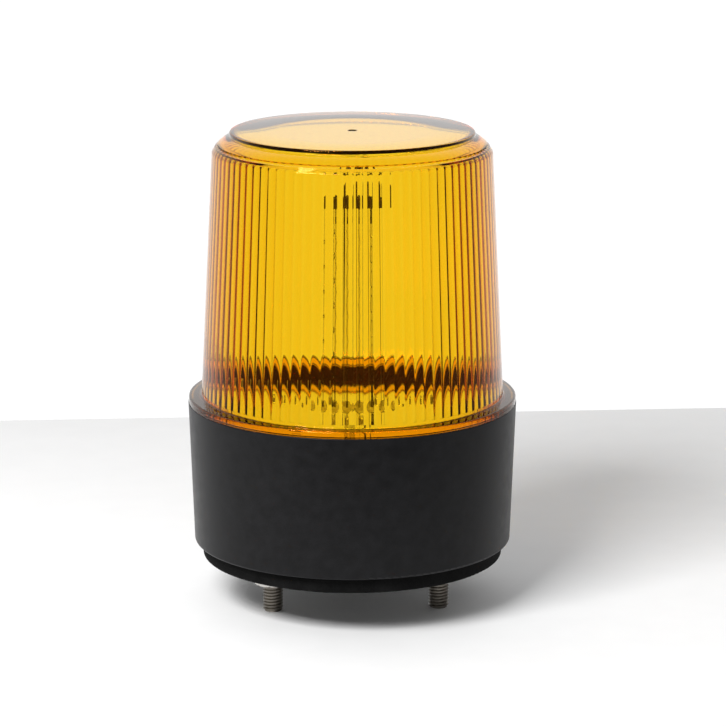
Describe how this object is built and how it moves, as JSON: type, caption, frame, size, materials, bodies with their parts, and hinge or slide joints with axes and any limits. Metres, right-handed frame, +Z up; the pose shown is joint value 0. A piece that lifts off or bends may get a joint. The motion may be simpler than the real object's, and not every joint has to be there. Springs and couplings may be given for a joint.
{
  "type": "flash warning beacon",
  "caption": "Round amber warning beacon: tapered ribbed lens with a raised flat top, twisted onto a black cup base with a sponge gasket and threaded studs below.",
  "frame": {"origin": "centre of the gasket's underside, the face that lies on the surface the beacon is fixed to; the studs reach below it", "axes": "+Z up along the lens's axis; -Y is the front, with a stud to each side of it"},
  "size_m": [0.1304, 0.1304, 0.1893],
  "materials": {
    "amber_lens": "clear amber acrylic, polished",
    "black_housing": "black, fine satin moulding",
    "sponge_rubber": "black closed-cell sponge",
    "seal_rubber": "smooth black rubber",
    "stud_steel": "dull rolled thread",
    "zinc_steel": "zinc plated",
    "bright_plate": "bright rolled sheet",
    "board_laminate": "green solder resist",
    "white_ceramic": "unglazed steatite look",
    "tube_glass": "clear",
    "nickel": "satin nickel",
    "tungsten": "dark",
    "capacitor_sleeve": "shrink sleeve",
    "ferrite": "dark grey ferrite",
    "winding_tape": "yellow tape",
    "sink_aluminium": "extruded",
    "black_epoxy": "moulded epoxy",
    "terminal_green": "moulded",
    "cement": "cement"
  },
  "bodies": {
    "base": {"base_housing": "black_housing", "mounting_gasket": "sponge_rubber", "mounting_studs": "stud_steel", "stud_washers": "zinc_steel", "stud_nuts": "zinc_steel", "cable_grommet": "seal_rubber", "reflector_plate": "bright_plate", "plate_screws": "zinc_steel", "board_standoffs": "nickel", "standoff_screws": "zinc_steel", "board_screws": "zinc_steel", "circuit_board": "board_laminate", "tube_socket": "white_ceramic", "flash_tube": "tube_glass", "tube_end_caps": "nickel", "tube_electrodes": "tungsten", "return_rod": "nickel", "tube_top_clip": "nickel", "trigger_wire": "nickel", "storage_capacitor": "capacitor_sleeve", "transformer_core": "ferrite", "transformer_winding": "winding_tape", "heat_sink": "sink_aluminium", "power_transistor": "black_epoxy", "terminal_block": "terminal_green", "terminal_screws": "zinc_steel", "supply_fuse": "tube_glass", "fuse_clips": "nickel", "trigger_coil": "black_epoxy", "charge_resistor": "cement"},
    "seal": {"lens_seal": "seal_rubber"},
    "lens": {"lens": "amber_lens"}
  },
  "joints": [
    {"name": "lens_rise", "type": "slide", "parent": "base", "child": "seal", "axis": [0, 0, 1], "range_m": [0, 0.0026]},
    {"name": "lens_turn", "type": "hinge", "parent": "seal", "child": "lens", "pos_m": [0, 0, 0.0628], "axis": [0, 0, 1], "range_deg": [0, 50]}
  ],
  "couplings": [
    {"joint": "lens_rise", "follows": "lens_turn", "m_per_rad": 0.0028648}
  ]
}
